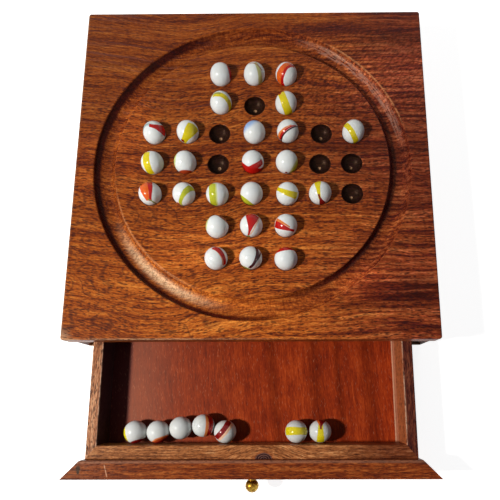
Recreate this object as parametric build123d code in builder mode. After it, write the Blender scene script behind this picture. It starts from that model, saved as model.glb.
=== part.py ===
from build123d import *
from math import cos, radians, sin, sqrt
import os

os.makedirs("parts", exist_ok=True)

# Peg solitaire board on a mitred case, with a drawer for the spare marbles.
# Millimetres. The origin is the centre of the case's underside, +Z is up, and
# the drawer opens towards -Y. The drawer is modelled standing part way open.

# Marbles
marble_diameter = 16.0
marble_seat_gap = 0.2  # air between a marble and whatever it lies on
marble_side_gap = 0.3  # air between marbles that lie side by side

# Board top, a single square plank with a little easing on every arris
top_width = 260.0
top_depth = 260.0
top_thickness = 11.0
top_corner_radius = 2.0
top_edge_round = 1.0
top_underside_round = 0.6

# Spherical sockets, in the 33 hole cross of the English board
playfield_shift = -0.8  # the cross and the groove lie this far off the board's centre along Y
hole_pitch = 24.4
socket_depth = 6.2
socket_edge_chamfer = 0.3
# The holes were laid out by hand: how far each lies off the even cross, along X and Y
hole_offsets = {
    "c7": (0.1, 0.1), "d7": (1.1, 0.4), "e7": (0.8, 0.0),
    "c6": (0.7, 0.5), "d6": (1.4, -0.3), "e6": (0.5, -0.1),
    "a5": (0.8, 0.5), "b5": (1.1, 1.0), "c5": (0.0, 0.9), "d5": (1.5, 0.4), "e5": (1.7, 1.0),
    "f5": (2.2, 0.6), "g5": (1.1, 0.5),
    "a4": (0.6, 0.7), "b4": (0.1, 0.9), "c4": (-0.5, 0.7), "d4": (0.5, 0.8), "e4": (0.8, 0.8),
    "f4": (0.8, 0.5), "g4": (-0.4, 0.8),
    "a3": (0.2, 0.9), "b3": (0.1, 0.5), "c3": (-0.3, 0.1), "d3": (-0.1, 0.6), "e3": (1.1, 0.3),
    "f3": (0.2, 0.7), "g3": (-0.8, 1.4),
    "c2": (0.1, -0.1), "d2": (-0.1, 0.6), "e2": (-0.1, 0.5),
    "c1": (-0.1, 0.9), "d1": (-0.3, 1.1), "e1": (-0.2, 0.4),
}
drill_point_diameter = 2.6
drill_point_depth = 0.8
empty_holes = ("d6", "c5", "f5", "c4", "f4", "g4", "g3")

# Cove groove round the cross, where marbles that are taken off collect
groove_edge_margin = 13.5
groove_depth = 5.75
groove_side_clearance = 0.5  # the cove's radius is this much over the marble's
groove_edge_round = 0.6

# Case under the top: two sides and a back, mitred, on a thin base panel
case_inset = 1.5
board_thickness = 12.5
board_height = 28.5
base_thickness = 3.0
base_edge_round = 0.5

# Drawer: its mitred front closes the case like a fourth board
drawer_open = 94.0  # how far the drawer stands out of the closed position
mitre_gap = 0.4
front_gap = 0.5  # above and below the drawer's front
front_face_round = 0.8
front_rear_round = 1.5
drawer_side_clearance = 1.5
drawer_run_clearance = 0.4
drawer_back_clearance = 3.0
drawer_rim_drop = 5.5  # from the top's underside down to the drawer's rim
drawer_wall = 7.5
drawer_edge_round = 0.6
rail_thickness = 9.3
drawer_bottom_thickness = 3.0
drawer_rebate = 4.0
panel_fit = 0.15

# Marbles in the drawer: a row of five that touches the rail, and a pair.
# Each row has its first marble's distance from the drawer's left wall, the headings
# in degrees from one marble to the next, and the spare room between neighbours.
spare_rows = ((22.4, (0.0, 9.5, 5.6, -15.2), 0.1), (138.3, (0.5,), 0.9))

# Brass ball knob, turned in one piece with its wood screw
knob_ball_diameter = 9.4
knob_standout = 11.0  # from the drawer's front to the end of the ball
knob_collar_diameter = 7.4
knob_collar_height = 1.1
knob_collar_ease = 0.4
knob_neck_diameter = 5.6
knob_shank_diameter = 3.4
knob_shank_length = 9.0
knob_point_length = 2.7

# Fixings
fixing_clearance = 0.05
brad_diameter = 1.4
brad_length = 13.0
brad_head_diameter = 2.6
brad_head_height = 0.5
brad_head_sink = 0.2
pin_length = 16.0
dowel_diameter = 6.0
dowel_half_length = 6.0
dowel_end_chamfer = 0.5
dowel_end_room = 0.4
front_dowel_diameter = 5.0
front_dowel_pitch = 60.0
fixing_end_distance = 28.0  # from a case or drawer corner to the nearest fixing
corner_pin_shares = (0.27, 0.73)  # up the height of the case's boards
drawer_pin_shares = (0.3, 0.75)  # up the height of the drawer's walls

# Places that follow from the sizes above
marble_radius = marble_diameter / 2
top_underside = base_thickness + board_height
top_surface = top_underside + top_thickness

socket_radius = marble_radius + marble_seat_gap
socket_centre_height = top_surface + socket_radius - socket_depth

cove_radius = marble_radius + groove_side_clearance
cove_half_width = sqrt(cove_radius**2 - (cove_radius - groove_depth) ** 2)
groove_radius = min(top_width, top_depth) / 2 - groove_edge_margin - cove_half_width

case_half_width = top_width / 2 - case_inset
case_half_depth = top_depth / 2 - case_inset
board_line_x = case_half_width - board_thickness / 2
board_line_y = case_half_depth - board_thickness / 2

front_face_y = -case_half_depth - mitre_gap - drawer_open
front_rear_y = front_face_y + board_thickness
front_bottom = base_thickness + front_gap
front_top = top_underside - front_gap
front_middle = (front_bottom + front_top) / 2

drawer_underside = base_thickness + drawer_run_clearance
drawer_floor = drawer_underside + drawer_bottom_thickness
drawer_rim = top_underside - drawer_rim_drop
drawer_half_width = case_half_width - board_thickness - drawer_side_clearance
drawer_inner_half_width = drawer_half_width - drawer_wall
rail_inner_y = front_rear_y + rail_thickness
drawer_back_y = case_half_depth - board_thickness - drawer_back_clearance - drawer_open
drawer_back_inner_y = drawer_back_y - drawer_wall

hole_spots = {
    hole: (
        ("abcdefg".index(hole[0]) - 3) * hole_pitch + offset_x,
        (int(hole[1]) - 4) * hole_pitch + playfield_shift + offset_y,
    )
    for hole, (offset_x, offset_y) in hole_offsets.items()
}


def keep(builder, name):
    """Label a finished piece and write it to its own file."""
    builder.part.label = name
    export_step(builder.part, f"parts/{name}.step")


def brad_cutter(length):
    """Hole for a brad driven along +Z from the origin, open at its head."""
    with BuildPart() as hole:
        with BuildSketch(Plane.XY.offset(-brad_head_sink)):
            Circle(brad_head_diameter / 2 + fixing_clearance)
        extrude(amount=2 * brad_head_sink + brad_head_height)
        with BuildSketch():
            Circle(brad_diameter / 2 + fixing_clearance)
        extrude(amount=length + brad_head_sink + dowel_end_room)
    return hole.part


def brad(length):
    """Brad driven along +Z from the origin, with its head just below the face."""
    neck = brad_head_sink + brad_head_height
    end = brad_head_sink + length
    with BuildPart() as nail:
        with BuildSketch(Plane.XZ):
            with BuildLine():
                Polyline(
                    (0, brad_head_sink),
                    (brad_head_diameter / 2, brad_head_sink),
                    (brad_head_diameter / 2, neck),
                    (brad_diameter / 2, neck),
                    (brad_diameter / 2, end - brad_diameter),
                    (0, end),
                    close=True,
                )
            make_face()
        revolve(axis=Axis.Z)
    return nail.part


def dowel_cutter(diameter):
    """Hole for a dowel centred on the origin along Z, with glue room at its ends."""
    with BuildPart() as hole:
        Cylinder(diameter / 2 + fixing_clearance, 2 * (dowel_half_length + dowel_end_room))
    return hole.part


def dowel(diameter):
    """Dowel centred on the origin along Z."""
    with BuildPart() as peg:
        Cylinder(diameter / 2, 2 * dowel_half_length)
        chamfer(peg.edges().filter_by(GeomType.CIRCLE), length=dowel_end_chamfer)
    return peg.part


# Where the fixings go, as planes whose Z runs along the fixing
side_spots_y = (fixing_end_distance - case_half_depth, 0.0, case_half_depth - fixing_end_distance)
back_spots_x = (fixing_end_distance - case_half_width, 0.0, case_half_width - fixing_end_distance)
base_brad_planes = [
    Plane(origin=(side * board_line_x, y, 0)) for side in (-1, 1) for y in side_spots_y
] + [Plane(origin=(x, board_line_y, 0)) for x in back_spots_x]

corner_pin_planes = [
    Plane(
        origin=(side * board_line_x, case_half_depth, base_thickness + share * board_height),
        x_dir=(1, 0, 0),
        z_dir=(0, -1, 0),
    )
    for side in (-1, 1)
    for share in corner_pin_shares
]

top_dowel_planes = [
    Plane(origin=(side * board_line_x, y, top_underside))
    for side in (-1, 1)
    for y in (-case_half_depth / 2, case_half_depth / 2)
] + [Plane(origin=(x, board_line_y, top_underside)) for x in (-case_half_width / 2, case_half_width / 2)]

bottom_brad_x = drawer_inner_half_width + drawer_rebate / 2
bottom_brad_front = rail_inner_y + fixing_end_distance
bottom_brad_back = drawer_back_inner_y - fixing_end_distance
bottom_brad_spots = [
    (side * bottom_brad_x, y)
    for side in (-1, 1)
    for y in (bottom_brad_front, (bottom_brad_front + bottom_brad_back) / 2, bottom_brad_back)
] + [
    (side * drawer_inner_half_width / 2, y)
    for side in (-1, 1)
    for y in (rail_inner_y - drawer_rebate / 2, drawer_back_inner_y + drawer_rebate / 2)
]
bottom_brad_planes = [Plane(origin=(x, y, drawer_underside)) for x, y in bottom_brad_spots]

drawer_pin_planes = [
    Plane(
        origin=(side * drawer_half_width, y, drawer_floor + share * (drawer_rim - drawer_floor)),
        x_dir=(0, 1, 0),
        z_dir=(-side, 0, 0),
    )
    for side in (-1, 1)
    for y in (front_rear_y + rail_thickness / 2, drawer_back_y - drawer_wall / 2)
    for share in drawer_pin_shares
]

front_dowel_planes = [
    Plane(origin=(step * front_dowel_pitch, front_rear_y, front_middle), x_dir=(1, 0, 0), z_dir=(0, -1, 0))
    for step in (-1.5, -0.5, 0.5, 1.5)
]

case_brad_hole = brad_cutter(brad_length)
pin_hole = brad_cutter(pin_length)
top_dowel_hole = dowel_cutter(dowel_diameter)
front_dowel_hole = dowel_cutter(front_dowel_diameter)

# Socket cutter: a spherical bowl, a drill point in its bottom and an eased rim.
# Its origin is at the board's surface, above the bowl's lowest point.
bowl_rim_radius = sqrt(socket_radius**2 - (socket_radius - socket_depth) ** 2)
bowl_centre = socket_radius - socket_depth
point_radius = drill_point_diameter / 2
point_rim_depth = bowl_centre - sqrt(socket_radius**2 - point_radius**2)
bowl_middle_angle = radians(-60)
with BuildPart() as socket_cutter:
    with BuildSketch(Plane.XZ):
        with BuildLine():
            Polyline(
                (bowl_rim_radius, 0),
                (bowl_rim_radius, socket_edge_chamfer),
                (0, socket_edge_chamfer),
                (0, -socket_depth - drill_point_depth),
                (point_radius, point_rim_depth),
            )
            ThreePointArc(
                (point_radius, point_rim_depth),
                (socket_radius * cos(bowl_middle_angle), bowl_centre + socket_radius * sin(bowl_middle_angle)),
                (bowl_rim_radius, 0),
            )
        make_face()
    revolve(axis=Axis.Z)

# Board top
with BuildPart() as top_board:
    with BuildSketch(Plane.XY.offset(top_underside)):
        RectangleRounded(top_width, top_depth, top_corner_radius)
    extrude(amount=top_thickness)
    fillet(top_board.faces().sort_by(Axis.Z)[-1].edges(), radius=top_edge_round)
    fillet(top_board.faces().sort_by(Axis.Z)[0].edges(), radius=top_underside_round)
    with BuildSketch(Plane(origin=(0, playfield_shift, 0), x_dir=(1, 0, 0), z_dir=(0, -1, 0))):
        with Locations((groove_radius, top_surface + cove_radius - groove_depth)):
            Circle(cove_radius)
    revolve(axis=Axis((0, playfield_shift, 0), (0, 0, 1)), mode=Mode.SUBTRACT)
    groove_rims = top_board.faces().sort_by(Axis.Z)[-2:].edges().filter_by(
        lambda edge: edge.geom_type == GeomType.CIRCLE and edge.radius > groove_radius / 2
    )
    fillet(groove_rims, radius=groove_edge_round)
    with Locations(*[(x, y, top_surface) for x, y in hole_spots.values()]):
        add(socket_cutter.part, mode=Mode.SUBTRACT)
    socket_rims = top_board.edges().filter_by(
        lambda edge: edge.geom_type == GeomType.CIRCLE
        and abs(edge.radius - bowl_rim_radius) < socket_edge_chamfer / 2
        and abs(edge.center().Z - top_surface) < socket_edge_chamfer / 2
    )
    chamfer(socket_rims, length=socket_edge_chamfer)
    with Locations(*top_dowel_planes):
        add(top_dowel_hole, mode=Mode.SUBTRACT)
keep(top_board, "top_board")


def case_side(side):
    """Side board of the case, mitred at both ends; side is -1 for left, 1 for right."""
    outer = side * case_half_width
    inner = side * (case_half_width - board_thickness)
    with BuildPart() as board:
        with BuildSketch(Plane.XY.offset(base_thickness)):
            with BuildLine():
                Polyline(
                    (outer, -case_half_depth),
                    (outer, case_half_depth),
                    (inner, case_half_depth - board_thickness),
                    (inner, board_thickness - case_half_depth),
                    close=True,
                )
            make_face()
        extrude(amount=board_height)
        with Locations(*base_brad_planes):
            add(case_brad_hole, mode=Mode.SUBTRACT)
        with Locations(*top_dowel_planes):
            add(top_dowel_hole, mode=Mode.SUBTRACT)
        with Locations(*corner_pin_planes):
            add(pin_hole, mode=Mode.SUBTRACT)
    return board


keep(case_side(-1), "case_side_left")
keep(case_side(1), "case_side_right")

# Back board of the case
with BuildPart() as case_back:
    with BuildSketch(Plane.XY.offset(base_thickness)):
        with BuildLine():
            Polyline(
                (-case_half_width, case_half_depth),
                (case_half_width, case_half_depth),
                (case_half_width - board_thickness, case_half_depth - board_thickness),
                (board_thickness - case_half_width, case_half_depth - board_thickness),
                close=True,
            )
        make_face()
    extrude(amount=board_height)
    with Locations(*base_brad_planes):
        add(case_brad_hole, mode=Mode.SUBTRACT)
    with Locations(*top_dowel_planes):
        add(top_dowel_hole, mode=Mode.SUBTRACT)
    with Locations(*corner_pin_planes):
        add(pin_hole, mode=Mode.SUBTRACT)
keep(case_back, "case_back")

# Thin base panel, glued and nailed under the three boards
with BuildPart() as base_panel:
    with BuildSketch():
        Rectangle(2 * case_half_width, 2 * case_half_depth)
    extrude(amount=base_thickness)
    fillet(base_panel.faces().sort_by(Axis.Z)[0].edges(), radius=base_edge_round)
    with Locations(*base_brad_planes):
        add(case_brad_hole, mode=Mode.SUBTRACT)
keep(base_panel, "base_panel")

# Drawer front: as thick as the case's boards, mitred like them
with BuildPart() as drawer_front:
    with BuildSketch(Plane.XY.offset(front_bottom)):
        with BuildLine():
            Polyline(
                (-case_half_width, front_face_y),
                (case_half_width, front_face_y),
                (case_half_width - board_thickness, front_rear_y),
                (board_thickness - case_half_width, front_rear_y),
                close=True,
            )
        make_face()
    extrude(amount=front_top - front_bottom)
    long_edges = drawer_front.edges().filter_by(Axis.X)
    fillet(long_edges.group_by(Axis.Y)[0], radius=front_face_round)
    fillet(long_edges.group_by(Axis.Y)[-1].sort_by(Axis.Z)[-1], radius=front_rear_round)
    with Locations(*front_dowel_planes):
        add(front_dowel_hole, mode=Mode.SUBTRACT)
    with Locations(Plane(origin=(0, front_face_y, front_middle), x_dir=(1, 0, 0), z_dir=(0, 1, 0))):
        Cylinder(
            knob_shank_diameter / 2 + fixing_clearance,
            knob_shank_length + fixing_clearance,
            align=(Align.CENTER, Align.CENTER, Align.MIN),
            mode=Mode.SUBTRACT,
        )
keep(drawer_front, "drawer_front")


def drawer_board(plan, rebate_centre, rebate_size):
    """Wall of the drawer's box from its plan, rebated below for the bottom panel."""
    with BuildPart() as wall:
        with BuildSketch(Plane.XY.offset(drawer_underside)):
            with BuildLine():
                Polyline(*plan, close=True)
            make_face()
        extrude(amount=drawer_rim - drawer_underside)
        fillet(
            wall.faces().sort_by(Axis.Z)[-1].edges().sort_by(SortBy.LENGTH)[-2:],
            radius=drawer_edge_round,
        )
        with BuildSketch(Plane.XY.offset(drawer_underside)):
            with Locations(rebate_centre):
                Rectangle(*rebate_size)
        extrude(amount=drawer_bottom_thickness, mode=Mode.SUBTRACT)
        with Locations(*bottom_brad_planes):
            add(case_brad_hole, mode=Mode.SUBTRACT)
        with Locations(*drawer_pin_planes):
            add(pin_hole, mode=Mode.SUBTRACT)
        with Locations(*front_dowel_planes):
            add(front_dowel_hole, mode=Mode.SUBTRACT)
    return wall


drawer_middle_y = (rail_inner_y + drawer_back_inner_y) / 2
drawer_rebate_room = (
    2 * (drawer_inner_half_width + drawer_rebate),
    drawer_back_inner_y - rail_inner_y + 2 * drawer_rebate,
)

for side, name in ((-1, "drawer_side_left"), (1, "drawer_side_right")):
    outer = side * drawer_half_width
    inner = side * drawer_inner_half_width
    keep(
        drawer_board(
            (
                (outer, front_rear_y),
                (outer, drawer_back_y),
                (inner, drawer_back_inner_y),
                (inner, rail_inner_y),
            ),
            (0, drawer_middle_y),
            drawer_rebate_room,
        ),
        name,
    )

for outer_y, inner_y, name in (
    (front_rear_y, rail_inner_y, "drawer_rail"),
    (drawer_back_y, drawer_back_inner_y, "drawer_back"),
):
    keep(
        drawer_board(
            (
                (-drawer_half_width, outer_y),
                (drawer_half_width, outer_y),
                (drawer_inner_half_width, inner_y),
                (-drawer_inner_half_width, inner_y),
            ),
            (0, drawer_middle_y),
            drawer_rebate_room,
        ),
        name,
    )

# Veneered bottom panel of the drawer, let into the rebates
with BuildPart() as drawer_bottom:
    with BuildSketch(Plane.XY.offset(drawer_underside)):
        with Locations((0, drawer_middle_y)):
            Rectangle(drawer_rebate_room[0] - 2 * panel_fit, drawer_rebate_room[1] - 2 * panel_fit)
    extrude(amount=drawer_bottom_thickness)
    with Locations(*bottom_brad_planes):
        add(case_brad_hole, mode=Mode.SUBTRACT)
keep(drawer_bottom, "drawer_bottom")

# Knob, turned about an axis that runs out of the drawer's front
knob_ball_radius = knob_ball_diameter / 2
ball_centre = knob_standout - knob_ball_radius
neck_radius = knob_neck_diameter / 2
neck_meets_ball = ball_centre - sqrt(knob_ball_radius**2 - neck_radius**2)
collar_radius = knob_collar_diameter / 2
shank_radius = knob_shank_diameter / 2
knob_section = Plane(origin=(0, front_face_y, front_middle), x_dir=(0, -1, 0), z_dir=(1, 0, 0))
with BuildPart() as knob:
    with BuildSketch(knob_section):
        with BuildLine():
            Polyline(
                (knob_standout, 0),
                (fixing_clearance - knob_shank_length, 0),
                (knob_point_length - knob_shank_length, shank_radius),
                (0, shank_radius),
                (0, collar_radius),
                (knob_collar_height - knob_collar_ease, collar_radius),
                (knob_collar_height, collar_radius - knob_collar_ease),
                (knob_collar_height, neck_radius),
                (neck_meets_ball, neck_radius),
            )
            ThreePointArc(
                (neck_meets_ball, neck_radius),
                (ball_centre, knob_ball_radius),
                (knob_standout, 0),
            )
        make_face()
    revolve(axis=Axis((0, front_face_y, front_middle), (0, -1, 0)))
keep(knob, "knob")


def fixings(planes, piece, name):
    """Group of identical fixings, one at each plane."""
    with BuildPart() as group:
        with Locations(*planes):
            add(piece)
    keep(group, name)


fixings(base_brad_planes, brad(brad_length), "base_brads")
fixings(corner_pin_planes, brad(pin_length), "corner_pins")
fixings(top_dowel_planes, dowel(dowel_diameter), "top_dowels")
fixings(bottom_brad_planes, brad(brad_length), "drawer_bottom_brads")
fixings(drawer_pin_planes, brad(pin_length), "drawer_corner_pins")
fixings(front_dowel_planes, dowel(front_dowel_diameter), "front_dowels")


def marble(spot, name):
    """Glass marble centred on a spot."""
    with BuildPart() as ball:
        with Locations(spot):
            Sphere(marble_radius)
    keep(ball, name)


# Marbles on the board, one in every hole that isn't empty
for hole, (x, y) in hole_spots.items():
    if hole not in empty_holes:
        marble((x, y, socket_centre_height), f"marble_{hole}")

# Marbles in the drawer, against the rail
spare_height = drawer_floor + marble_seat_gap + marble_radius
spare_number = 0
for start_x, headings, spare_room in spare_rows:
    x = start_x - drawer_inner_half_width
    y = rail_inner_y + marble_side_gap + marble_radius
    for heading in (None, *headings):
        if heading is not None:
            step = marble_diameter + marble_side_gap + spare_room
            x += step * cos(radians(heading))
            y += step * sin(radians(heading))
        spare_number += 1
        marble((x, y, spare_height), f"spare_marble_{spare_number}")
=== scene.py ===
from math import asin, cos, radians, sin

import bpy
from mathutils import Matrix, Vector


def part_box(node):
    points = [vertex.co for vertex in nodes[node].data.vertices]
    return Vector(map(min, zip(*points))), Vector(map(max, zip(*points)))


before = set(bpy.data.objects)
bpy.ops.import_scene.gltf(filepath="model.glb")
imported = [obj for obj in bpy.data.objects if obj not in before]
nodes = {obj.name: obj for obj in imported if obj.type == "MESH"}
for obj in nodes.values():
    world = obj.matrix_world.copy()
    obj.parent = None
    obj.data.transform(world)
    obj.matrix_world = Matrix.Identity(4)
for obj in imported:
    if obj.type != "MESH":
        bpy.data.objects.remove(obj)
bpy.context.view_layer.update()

# Places on the object that its finishes follow, in millimetres
MM = 1000.0
MARBLE_RADIUS = 8.0
TOP_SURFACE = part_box("top_board")[1].z * MM
TOP_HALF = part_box("top_board")[1].x * MM
PLAYFIELD_SHIFT = -0.8  # where the groove's middle lies along Y
GROOVE_INNER = 100.4  # radii of the groove's edges
GROOVE_OUTER = 116.5
RAIL_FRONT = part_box("drawer_rail")[0].y * MM
PLATE_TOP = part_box("drawer_front")[1].z * MM
PLATE_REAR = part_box("drawer_front")[1].y * MM
TRAY_HALF = 107.0
TRAY_RIM = 26.0

# Camera, at the photograph's viewing angle
IMAGE_WIDTH = 500.0
FOCAL_PIXELS = 401.4
AXIS_COLUMN = 279.75  # where the view's axis meets the photograph
AXIS_ROW = 330.3
SENSOR = 36.0
CAMERA_PLACE = Vector((0.02124, -0.16973, 0.3115))
CAMERA_ANGLES = (radians(9.7), radians(0.34), radians(-0.155))

camera_data = bpy.data.cameras.new("camera")
camera_data.sensor_width = SENSOR
camera_data.lens = SENSOR * FOCAL_PIXELS / IMAGE_WIDTH
camera_data.shift_x = (IMAGE_WIDTH / 2 - AXIS_COLUMN) / IMAGE_WIDTH
camera_data.shift_y = (AXIS_ROW - IMAGE_WIDTH / 2) / IMAGE_WIDTH
camera_data.clip_start = 0.01
camera = bpy.data.objects.new("camera", camera_data)
camera.location = CAMERA_PLACE
camera.rotation_euler = CAMERA_ANGLES
bpy.context.scene.collection.objects.link(camera)
bpy.context.scene.camera = camera
CAMERA_TURN = camera.rotation_euler.to_matrix()


class Tree:
    """A node tree, with a short call for each kind of node."""

    def __init__(self, tree):
        self.tree = tree
        tree.nodes.clear()

    def node(self, kind, inputs=(), **settings):
        node = self.tree.nodes.new(kind if kind.startswith("Node") else "ShaderNode" + kind)
        for name, value in settings.items():
            setattr(node, name, value)
        for socket, value in dict(inputs).items():
            self.feed(node.inputs[socket], value)
        return node

    def feed(self, socket, value):
        if isinstance(value, bpy.types.NodeSocket):
            self.tree.links.new(value, socket)
        elif socket.type == "RGBA":
            socket.default_value = (*value, 1.0)
        else:
            socket.default_value = value

    def math(self, operation, *values):
        return self.node("Math", enumerate(values), operation=operation).outputs[0]

    def total(self, first, *others):
        for value in others:
            first = self.math("ADD", first, value)
        return first

    def product(self, first, *others):
        for value in others:
            first = self.math("MULTIPLY", first, value)
        return first

    def minus(self, first, second):
        return self.math("SUBTRACT", first, second)

    def vector(self, operation, *values):
        node = self.node("VectorMath", enumerate(values), operation=operation)
        return node.outputs["Value" if operation in ("DOT_PRODUCT", "LENGTH", "DISTANCE") else "Vector"]

    def join(self, x, y, z):
        return self.node("CombineXYZ", {0: x, 1: y, 2: z}).outputs[0]

    def split(self, vector):
        return self.node("SeparateXYZ", {0: vector}).outputs[:]

    def step(self, value, low, high):
        """Goes smoothly from 0 to 1 as the value goes from low to high."""
        inputs = {"Value": value, "From Min": low, "From Max": high}
        return self.node("MapRange", inputs, interpolation_type="SMOOTHSTEP").outputs["Result"]

    def between(self, value, low, high, soft):
        """1 between low and high, fading to 0 over soft at each end."""
        rise = self.step(value, low - soft / 2, low + soft / 2)
        return self.product(rise, self.step(value, high + soft / 2, high - soft / 2))

    def place(self):
        """Place on the part, in millimetres."""
        return self.vector("MULTIPLY", self.node("TexCoord").outputs["Object"], (MM, MM, MM))

    def noise(self, place, detail=2.0, roughness=0.5):
        inputs = {"Vector": place, "Scale": 1.0, "Detail": detail, "Roughness": roughness}
        return self.node("TexNoise", inputs).outputs[0]

    def swing(self, noise, amount):
        """How far a noise is from its middle, times the amount."""
        return self.product(self.minus(noise, 0.5), amount)

    def cells(self, place):
        """Distance to the middle of the nearest random cell, and that cell's own random number."""
        node = self.node("TexVoronoi", {"Vector": place, "Scale": 1.0})
        return node.outputs["Distance"], self.split(node.outputs["Color"])[0]

    def mix(self, factor, first, second, blend="MIX"):
        inputs = {0: factor, 6: first, 7: second}
        return self.node("Mix", inputs, data_type="RGBA", blend_type=blend).outputs[2]

    def ramp(self, factor, *stops):
        node = self.node("ValToRGB", {0: factor})
        elements = node.color_ramp.elements
        elements[0].position, elements[0].color = stops[0][0], (*stops[0][1], 1.0)
        elements[1].position, elements[1].color = stops[-1][0], (*stops[-1][1], 1.0)
        for position, colour in stops[1:-1]:
            elements.new(position).color = (*colour, 1.0)
        return node.outputs[0]


def start_material(name):
    made = bpy.data.materials.new(name)
    made.use_nodes = True
    return made, Tree(made.node_tree)


def close_material(tree, colour, roughness, height, depth, constants):
    """Principled shader of that colour and roughness, with a bump of depth millimetres."""
    shader = tree.node("BsdfPrincipled", {"Base Color": colour, "Roughness": roughness, **constants})
    bump = tree.node("Bump", {"Strength": 1.0, "Distance": depth / MM, "Height": height})
    tree.feed(shader.inputs["Normal"], bump.outputs[0])
    tree.feed(tree.node("OutputMaterial").inputs["Surface"], shader.outputs[0])


def dress(name, made):
    nodes[name].material_slots[0].material = made


# Wood. Each board is cut from a solid grain, so that its pattern goes on round its edges.
VARNISH = {"Specular IOR Level": 0.1, "Specular Tint": (1.0, 0.62, 0.4)}
# Pale wear on the top's arrises, partly a painted highlight where they face the key lamp
PALE_WEAR_AND_HIGHLIGHT = (0.43, 0.27, 0.16)
PORE = (0.020, 0.005, 0.007)
# How much of the wood's colour its marks and pores cover
MARKS_COVER = 0.74
PORES_COVER = 0.6
FINE_PORES_COVER = 0.4


class Grain:
    """Solid wood grain. x runs along the fibres and ring across the growth rings, in millimetres."""

    def __init__(self, tree, seed, along="X", lean=0.0, sway=7.0, curl=3.0, bulge=None):
        """Sway and curl are the fibres' long and short waves.

        They go round a bulge, which is given by its middle, reach and rise.
        """
        self.tree = tree
        self.seed = (seed * 17.3, seed * 5.9, seed * 11.1)
        self.place = tree.split(tree.place())
        x, y = self.place[:2] if along == "X" else (self.place[1], self.place[0])
        y = tree.total(y, tree.product(x, lean))
        wave = tree.noise(self.spot(x, y, 0.007, 0.016), 2.0)
        y = tree.total(y, tree.swing(wave, 2 * sway))
        ripple = tree.noise(self.spot(x, y, 0.035, 0.06), 2.0)
        y = tree.total(y, tree.swing(ripple, curl))
        if bulge:
            middle, reach, rise = bulge
            near = tree.step(tree.math("ABSOLUTE", tree.minus(x, middle)), reach, 0.0)
            y = tree.minus(y, tree.product(near, rise))
        self.x, self.ring = x, y

    def spot(self, x, y, per_x, per_y):
        """Place for a texture with that many features a millimetre along and across the fibres."""
        tree = self.tree
        z = tree.product(self.place[2], per_y)
        return tree.vector("ADD", tree.join(tree.product(x, per_x), tree.product(y, per_y), z), self.seed)

    def texture(self, per_x, per_y, detail=3.0, roughness=0.6):
        return self.tree.noise(self.spot(self.x, self.ring, per_x, per_y), detail, roughness)

    def dashes(self, per_x, per_y, share, thickness=0.3):
        """Short dashes along the fibres, such as open pores, in that share of the cells."""
        distance, chance = self.tree.cells(self.spot(self.x, self.ring, per_x, per_y))
        present = self.tree.step(chance, share + 0.03, share - 0.03)
        return self.tree.product(self.tree.step(distance, thickness * 1.35, thickness * 0.5), present)

    def contours(self, per_x, per_y, count):
        """Thin wavy lines round the high and low places of a texture, as growth rings show in a board."""
        level = self.tree.math("SINE", self.tree.product(self.texture(per_x, per_y, 1.0), count))
        return self.tree.step(level, 0.84, 1.0)

    def tone(self, bands, streaks, flecks, fibres):
        """Light and dark of the wood, about 0.5, from bands, streaks, short flecks and single fibres."""
        tree = self.tree
        parts = (
            (bands, self.texture(0.0035, 0.075, 3.0, 0.55)),
            (streaks, self.texture(0.014, 0.42, 2.0, 0.55)),
            (flecks, self.texture(0.1, 1.0, 1.0, 0.6)),
            (fibres, self.texture(0.3, 2.2, 3.0, 0.7)),
        )
        return tree.total(0.5, *[tree.swing(part, amount) for amount, part in parts])


def lifted_against_falloff(tree, colour, x, level, rise=0.0027):
    """The colour at that level in the middle of the board, and steadily lighter to the right. This lift is
    painted light, which makes up for the key lamp's falloff to the right.
    """
    lift = tree.product(tree.total(tree.product(x, rise), 1.0), level)
    return tree.vector("MULTIPLY", colour, tree.join(lift, lift, lift))


def shaded(tree, colour, mask, shade):
    """The colour multiplied by a shade where the mask is 1."""
    return tree.mix(mask, colour, shade, "MULTIPLY")


def finish_grain(tree, grain, colour, tone, busy=1.0):
    """A board's colour with its marks and pores, and its roughness and bump height.

    Busy is how strongly the marks show.
    """
    marks = tree.math("MAXIMUM", grain.dashes(0.17, 0.7, 0.85, 0.34), grain.dashes(0.32, 0.95, 0.5, 0.34))
    pores = grain.dashes(0.24, 1.35, 0.5)
    fine = grain.dashes(0.5, 2.6, 0.5)
    colour = tree.mix(tree.product(marks, busy, MARKS_COVER), colour, PORE)
    colour = tree.mix(tree.product(pores, PORES_COVER), colour, PORE)
    colour = tree.mix(tree.product(fine, FINE_PORES_COVER), colour, PORE)
    open_grain = tree.math("MAXIMUM", pores, fine)
    roughness = tree.total(tree.product(open_grain, 0.25), tree.product(tone, 0.12), 0.3)
    height = tree.total(tree.product(tone, 0.35), tree.product(open_grain, -0.6), 0.6)
    return colour, roughness, height


# Board top: golden brown on the left, streaked purple brown on the right
TOP_LEVEL = 1.17
TOP_SHADES = (
    (0.16, (0.026, 0.004, 0.006)),
    (0.38, (0.150, 0.026, 0.007)),
    (0.52, (0.400, 0.092, 0.013)),
    (0.76, (0.800, 0.290, 0.050)),
)
# Dark streaks of the top: first and last place along X, place across, half width and strength
TOP_STREAKS = (
    (82, 140, 104, 7, 0.75),
    (60, 140, 92, 2.5, 0.45),
    (-140, -40, 84, 2.5, 0.35),
    (20, 140, 13, 3.5, 0.6),
    (-110, -55, 12, 2.2, 0.45),
    (-30, 62, -35, 4.5, 0.3),
    (85, 140, -32, 4, 0.4),
    (55, 140, -64, 3.5, 0.4),
    (72, 140, -97, 8, 0.8),
    (60, 140, -107, 3, 0.5),
    (96, 140, -124, 3, 0.45),
    (104, 140, 52, 5, 0.35),
)
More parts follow.
